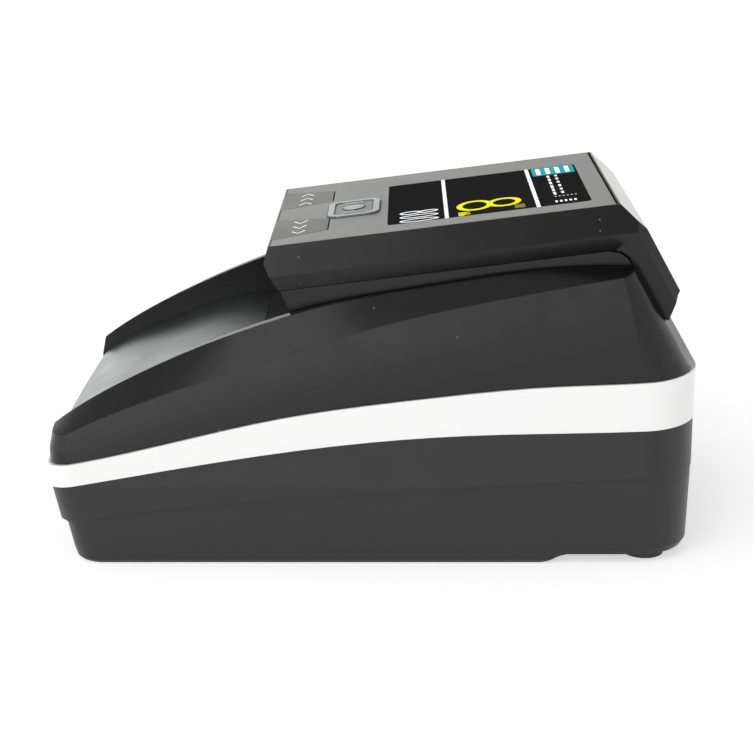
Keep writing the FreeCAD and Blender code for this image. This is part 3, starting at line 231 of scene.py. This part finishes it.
def make_materials():
    metal = {"metallic": 1.0, "edge": 0.0002}
    fine = {"edge": 0.0002}
    return {
        "matte_black": moulded("matte_black", grey(0.009), grey(0.013), 0.40, 0.04, 3200, 0.00002,
                               specular=0.48),
        "satin_black": moulded("satin_black", grey(0.005), grey(0.007), 0.25, 0.03, 2600, 0.000008,
                               specular=0.35, dust=0.5),
        "gloss_black": moulded("gloss_black", grey(0.020), grey(0.027), 0.20, 0.03, 900, 0.000004,
                               coat=0.3),
        "gloss_white": moulded("gloss_white", (0.84, 0.84, 0.84), (0.87, 0.87, 0.86), 0.16, 0.03, 500,
                               0.000003, coat=0.4),
        "panel_grey": moulded("panel_grey", (0.375, 0.384, 0.358), (0.400, 0.409, 0.382), 0.38, 0.03,
                              5200, 0.000008, specular=0.4),
        "key_grey": moulded("key_grey", (0.215, 0.216, 0.194), (0.240, 0.241, 0.216), 0.36, 0.04, 4200,
                            0.000008, specular=0.4),
        "display_glass": moulded("display_glass", grey(0.024), grey(0.028), 0.55, 0.02, 600, 0.000001,
                                 specular=0.0, edge=0.0),
        "bright_chrome": moulded("bright_chrome", (0.26, 0.28, 0.30), (0.42, 0.44, 0.46), 0.12, 0.04,
                                 700, 0.000004, **metal),
        "rubber": moulded("rubber", grey(0.018), grey(0.028), 0.72, 0.06, 2200, 0.00004),
        "steel": moulded("steel", (0.46, 0.46, 0.47), (0.58, 0.58, 0.59), 0.30, 0.06, 3000, 0.000008,
                         **metal),
        "tray_steel": moulded("tray_steel", (0.16, 0.17, 0.17), (0.185, 0.195, 0.195), 0.30, 0.03, 1600,
                              0.000003, **metal),
        "brass": moulded("brass", (0.60, 0.45, 0.20), (0.74, 0.58, 0.28), 0.26, 0.05, 2400, 0.000006,
                         **metal),
        "pulley_grey": moulded("pulley_grey", grey(0.16), grey(0.21), 0.45, 0.05, 2400, 0.00002, **fine),
        "bush_white": moulded("bush_white", (0.70, 0.69, 0.64), (0.78, 0.77, 0.72), 0.42, 0.05, 2400,
                              0.00002, **fine),
        "circuit_board": moulded("circuit_board", (0.012, 0.110, 0.045), (0.020, 0.165, 0.070), 0.38,
                                 0.06, 1500, 0.00003, blotch=220.0, **fine),
        "chip_black": moulded("chip_black", grey(0.018), grey(0.030), 0.48, 0.06, 2600, 0.00002, **fine),
        "black_fitting": moulded("black_fitting", grey(0.016), grey(0.024), 0.40, 0.06, 2600, 0.00002),
        "smoked_lens": moulded("smoked_lens", (0.030, 0.008, 0.012), (0.045, 0.012, 0.018), 0.12, 0.03,
                               800, 0.000002, **fine),
        "clear_glass": glass_material(),
    }


def glass_material():
    mat = moulded("clear_glass", (0.55, 0.62, 0.62), (0.65, 0.70, 0.70), 0.08, 0.02, 600, 0.000001,
                  edge=0.0)
    shader = mat.node_tree.nodes["Principled BSDF"]
    shader.inputs["Transmission Weight"].default_value = 0.8
    shader.inputs["IOR"].default_value = 1.5
    return mat


def lit_ink(name, colour, strength):
    """Lit picture element: even glow with a faint dot pattern and no shine."""
    mat, tree, shader = new_material(name)
    coords = add(tree, "ShaderNodeTexCoord").outputs["Object"]
    dim = tuple(channel * 0.93 for channel in colour)
    tone = mix_colours(tree, noise(tree, coords, 1800.0, 1.0), dim, colour)
    tree.links.new(tone, shader.inputs["Base Color"])
    tree.links.new(tone, shader.inputs["Emission Color"])
    shader.inputs["Emission Strength"].default_value = strength
    shader.inputs["Specular IOR Level"].default_value = 0.0
    shader.inputs["Roughness"].default_value = 0.6
    return mat


def paint_nodes(materials):
    for entry in frame["record"]["subparts"]:
        obj = nodes[entry["node"]]
        obj.data.materials.clear()
        obj.data.materials.append(materials[entry["material_slot"]])


# ---------------------------------------------------------------- pieces on the head
# lengths below are millimetres on the sloping panel: across, along the slope, and up from it
SLOPE = math.radians(7.1)
PRINT_LEVELS = (-0.085, -0.045)     # print on the display, under the panel's face
KEY_CENTRE = 23.0
MARK_PITCH = 7.5
BEVEL_RUN, BEVEL_DROP = 8.6, 7.4    # the bevel behind the panel, seen from the side
BADGE_FIELD = 0.35                  # height of the field inside the badge's rim
BADGE_RIM = 2.0
SHADE_LINE = 0.45                        # width of the dark line round the badge


def plate_frame(node):
    """Reference point of a sloping plate's top front edge, from its box."""
    low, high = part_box(node)
    run, rise = high.y - low.y, high.z - low.z
    spread = math.cos(SLOPE) ** 2 - math.sin(SLOPE) ** 2
    length = (run * math.cos(SLOPE) - rise * math.sin(SLOPE)) / spread
    return Vector(((low.x + high.x) / 2, low.y, high.z - length * math.sin(SLOPE)))


class Plate:
    """Millimetre coordinates on a sloping plate: across, along the slope, and up from it."""

    def __init__(self, origin):
        self.origin = origin

    def point(self, across, along, up):
        y = along * math.cos(SLOPE) - up * math.sin(SLOPE)
        z = along * math.sin(SLOPE) + up * math.cos(SLOPE)
        return self.origin + Vector((across, y, z)) / 1000.0

    def locate(self, place):
        """Across and along of a place in the frame."""
        across = (place.x - self.origin.x) * 1000
        along = (math.cos(SLOPE) * (place.y - self.origin.y) * 1000
                 + math.sin(SLOPE) * (place.z - self.origin.z) * 1000)
        return across, along


def finish_piece(name, bm, material, body):
    mesh = bpy.data.meshes.new(name)
    bmesh.ops.recalc_face_normals(bm, faces=bm.faces)
    bm.to_mesh(mesh)
    bm.free()
    piece = bpy.data.objects.new(name, mesh)
    scene.collection.objects.link(piece)
    mesh.materials.append(material)
    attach(piece, body)


def add_prism(bm, plate, outline, low, high):
    """Thin raised print with the given outline."""
    bottom = [bm.verts.new(plate.point(x, y, low)) for x, y in outline]
    top = [bm.verts.new(plate.point(x, y, high)) for x, y in outline]
    bm.faces.new(bottom[::-1])
    bm.faces.new(top)
    count = len(outline)
    for i in range(count):
        j = (i + 1) % count
        bm.faces.new([bottom[i], bottom[j], top[j], top[i]])


def rounded_bar(x0, x1, y0, y1, radius, steps=4):
    """Outline of a rectangle with rounded corners."""
    points = []
    for cx, cy, quarter in ((x1 - radius, y1 - radius, 0), (x0 + radius, y1 - radius, 1),
                            (x0 + radius, y0 + radius, 2), (x1 - radius, y0 + radius, 3)):
        for step in range(steps + 1):
            angle = math.radians(90 * (quarter + step / steps))
            points.append((cx + radius * math.cos(angle), cy + radius * math.sin(angle)))
    return points


def stroke(points, width):
    """Outline of an open path drawn with a square-ended pen."""
    left, right = [], []
    for i, (x, y) in enumerate(points):
        ax, ay = points[max(i - 1, 0)]
        bx, by = points[min(i + 1, len(points) - 1)]
        length = math.hypot(bx - ax, by - ay)
        nx, ny = -(by - ay) / length, (bx - ax) / length
        left.append((x + nx * width / 2, y + ny * width / 2))
        right.append((x - nx * width / 2, y - ny * width / 2))
    return left + right[::-1]


def oval(x, y, half_wide, half_tall, steps=40):
    """Outline of an oval round a centre."""
    turns = [2 * math.pi * i / steps for i in range(steps)]
    return [(x + half_wide * math.cos(a), y + half_tall * math.sin(a)) for a in turns]


def add_loop(bm, plate, x, y, half_wide, half_tall, pen, low, high):
    """Oval pen stroke, the part that every rounded digit here is made of."""
    add_ring(bm, plate, oval(x, y, half_wide, half_tall),
             oval(x, y, half_wide - pen, half_tall - pen), low, high)


def add_eight(bm, plate, x0, x1, y0, y1, pen, low, high):
    """Figure eight with a slightly smaller upper loop."""
    x, tall = (x0 + x1) / 2, y1 - y0
    wide = (x1 - x0) / 2
    lower = tall * 0.28
    upper = (tall - 2 * lower + pen) / 2
    add_loop(bm, plate, x, y0 + lower, wide, lower, pen, low, high)
    add_loop(bm, plate, x, y1 - upper, wide * 0.87, upper, pen, low, high + 0.004)


def add_bars(bm, plate, x0, x1, first, pitch, tall, count, radius, levels):
    """Column of equal bars, one behind another."""
    for step in range(count):
        along = first + step * pitch
        add_prism(bm, plate, rounded_bar(x0, x1, along, along + tall, radius), *levels)


def add_counter_digits(bm, plate):
    """One eight and two noughts in the front field."""
    pen = 0.85
    add_eight(bm, plate, 18.9, 23.5, 40.4, 53.0, pen, *PRINT_LEVELS)
    for x in (27.2, 33.2):
        add_loop(bm, plate, x, 46.7, 2.3, 6.3, pen, *PRINT_LEVELS)


def add_dividers(bm, plate):
    """Lines between the display's three fields."""
    half = 0.62
    for along in (55.5, 84.6):
        add_prism(bm, plate, rounded_bar(-28.3, 36.3, along - half, along + half, 0.2), *PRINT_LEVELS)


def add_status_marks(bm, plate):
    """Two rows of short bars and two columns of dots in the rear field."""
    for x, wide in ((-12.6, 3.4), (-7.6, 4.4), (-1.6, 3.8), (4.2, 5.0), (10.4, 3.6), (15.6, 4.6)):
        add_prism(bm, plate, rounded_bar(x, x + wide, 90.6, 91.5, 0.3), *PRINT_LEVELS)
        add_prism(bm, plate, rounded_bar(x, x + wide * 0.7, 93.2, 94.1, 0.3), *PRINT_LEVELS)
    add_bars(bm, plate, 22.7, 23.3, 90.6, 1.3, 0.6, 6, 0.2, PRINT_LEVELS)
    add_bars(bm, plate, 29.6, 32.2, 90.2, 1.5, 0.75, 5, 0.2, PRINT_LEVELS)


def add_big_figure(bm, plate):
    """Large eight with four small bars beside its foot."""
    add_eight(bm, plate, 14.2, 29.3, 58.9, 79.9, 1.9, *PRINT_LEVELS)
    foot = 59.2
    for step, tall in enumerate((3.8, 2.6, 3.8, 1.9)):
        x = 30.4 + step * 1.4
        add_prism(bm, plate, rounded_bar(x, x + 0.85, foot, foot + tall, 0.25), *PRINT_LEVELS)


def make_display(plate):
    white = lit_ink("lit_white", (0.95, 0.96, 0.98), 0.55)
    yellow = lit_ink("lit_yellow", (0.93, 0.90, 0.02), 0.50)
    pale = lit_ink("lit_pale_yellow", (0.32, 0.31, 0.10), 0.15)

    bm = bmesh.new()
    add_counter_digits(bm, plate)
    add_dividers(bm, plate)
    add_status_marks(bm, plate)
    finish_piece("display_white_marks", bm, white, "head")

    bm = bmesh.new()
    add_big_figure(bm, plate)
    finish_piece("display_yellow_marks", bm, yellow, "head")

    bm = bmesh.new()
    add_prism(bm, plate, rounded_bar(28.0, 33.6, 77.2, 80.6, 0.7), *PRINT_LEVELS)
    finish_piece("display_pale_mark", bm, pale, "head")
    make_status_tile(plate, white)


def make_status_tile(plate, white):
    """Plain teal tile with four white bars."""
    bm = bmesh.new()
    add_prism(bm, plate, rounded_bar(-28.0, -14.4, 86.2, 100.6, 0.8), *PRINT_LEVELS)
    teal = lit_ink("lit_teal", (0.05, 0.42, 0.48), 0.35)
    finish_piece("display_tile", bm, teal, "head")
    top = PRINT_LEVELS[1]
    bm = bmesh.new()
    add_bars(bm, plate, -26.6, -15.8, 87.6, 3.3, 1.5, 4, 0.4, (top, top + 0.02))
    finish_piece("display_tile_bars", bm, white, "head")


def make_bevel_skin():
    """Silver finish that carries on from the panel over the bevel at the head's rear, coloured lighter than
    the panel as a painted highlight for the bevel's brighter grazing sheen.
    """
    gap, thick = 0.00001, 0.00004       # metres
    fall = math.atan2(BEVEL_DROP, BEVEL_RUN)
    facing = Vector((0.0, math.cos(fall + SLOPE), math.sin(fall + SLOPE)))
    source = nodes["head_cover"].data
    chosen = [face for face in source.polygons if face.normal.dot(facing) > 0.9995]
    bm = bmesh.new()
    made = {}
    for face in chosen:
        for index in face.vertices:
            if index not in made:
                made[index] = bm.verts.new(source.vertices[index].co + facing * gap)
        bm.faces.new([made[index] for index in face.vertices])
    bmesh.ops.remove_doubles(bm, verts=bm.verts, dist=0.000001)
    bmesh.ops.recalc_face_normals(bm, faces=bm.faces)
    sheet = bmesh.ops.extrude_face_region(bm, geom=list(bm.faces))
    moved = [item for item in sheet["geom"] if isinstance(item, bmesh.types.BMVert)]
    bmesh.ops.translate(bm, verts=moved, vec=facing * thick)
    # partly painted highlight: the same silver paint as the panel, with a lighter base colour standing in
    # for the bevel's brighter grazing reflection
    silver_with_painted_sheen = moulded("panel_bevel_painted_sheen", (0.44, 0.45, 0.42), (0.48, 0.49, 0.46), 0.30, 0.03, 5200, 0.000002,
                     coat=0.6, edge=0.0)
    finish_piece("rear_bevel_skin", bm, silver_with_painted_sheen, "head")


def add_ring(bm, plate, outer, inner, low, high):
    """Raised closed band between two outlines with the same number of points."""
    rows = []
    for outline, level in ((outer, low), (outer, high), (inner, high), (inner, low)):
        rows.append([bm.verts.new(plate.point(x, y, level)) for x, y in outline])
    count = len(outer)
    for first, second in zip(rows, rows[1:] + rows[:1]):
        for i in range(count):
            j = (i + 1) % count
            bm.faces.new([first[i], first[j], second[j], second[i]])


def make_badge_inlay(plate, materials):
    """Panel-coloured field inside the badge's rim, and dark lines of painted shade round its raised parts.
    """
    low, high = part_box("badge")
    x0, y0 = plate.locate(low)
    x1, y1 = plate.locate(high)
    field = rounded_bar(x0 + BADGE_RIM, x1 - BADGE_RIM, y0 + BADGE_RIM, y1 - BADGE_RIM, 2.0, 6)
    bm = bmesh.new()
    add_prism(bm, plate, field, BADGE_FIELD - 0.05, BADGE_FIELD + 0.07)
    finish_piece("badge_field_inlay", bm, materials["panel_grey"], "head")
    bm = bmesh.new()
    # painted shade: dark rings round the badge's outer edge, inside its rim and round its disc, where the
    # grooves fall into shade
    add_ring(bm, plate, rounded_bar(x0 - SHADE_LINE, x1 + SHADE_LINE, y0 - SHADE_LINE, y1 + SHADE_LINE, 4.4, 6),
             rounded_bar(x0 - 0.02, x1 + 0.02, y0 - 0.02, y1 + 0.02, 4.0, 6), -0.02, 0.03)
    levels = (BADGE_FIELD + 0.06, BADGE_FIELD + 0.10)
    inset = BADGE_RIM + 0.5
    add_ring(bm, plate, field, rounded_bar(x0 + inset, x1 - inset, y0 + inset, y1 - inset, 1.6, 6), *levels)
    x, y = (x0 + x1) / 2, (y0 + y1) / 2
    add_ring(bm, plate, oval(x, y, 4.0, 4.0), oval(x, y, 3.38, 3.38), *levels)
    finish_piece("badge_painted_shade_lines", bm, materials["black_fitting"], "head")


def make_key_marks(plate):
    """Three chevrons on each key, pointing outwards, with a dark rim under the light print, which glows
    faintly as painted light.
    """
    # painted glow: the light print on the keys emits a little light so it reads brighter than the lamps
    # alone make it
    glowing_ink = lit_ink("key_ink_painted_glow", (0.92, 0.93, 0.93), 0.45)
    dark = moulded("key_ink_dark", grey(0.020), grey(0.030), 0.45, 0.04, 2400, 0.000004, edge=0.0)
    layers = (("under", dark, 1.5, -0.02, 0.03), ("over", glowing_ink, 0.95, 0.028, 0.05))
    for side, hand in ((-1, "left"), (1, "right")):
        for layer, material, pen, low, high in layers:
            bm = bmesh.new()
            for offset in (-MARK_PITCH, 0.0, MARK_PITCH):
                x = KEY_CENTRE * side + offset
                points = [(x - 2.0 * side, 5.8), (x + 1.6 * side, 7.9), (x - 2.0 * side, 10.0)]
                add_prism(bm, plate, stroke(points, pen), low, high)
            finish_piece("key_mark_%s_%s" % (layer, hand), bm, material, hand + "_key")


# ---------------------------------------------------------------- the scene
make_camera()
make_world()
make_floor()
area_light("key_light", (0.9, -0.5, 1.0), (0.0, 0.0, 0.05), (0.8, 0.8), 3.0)
materials = make_materials()
paint_nodes(materials)
panel = Plate(plate_frame("top_panel"))
make_display(panel)
make_key_marks(panel)
make_badge_inlay(panel, materials)
make_bevel_skin()
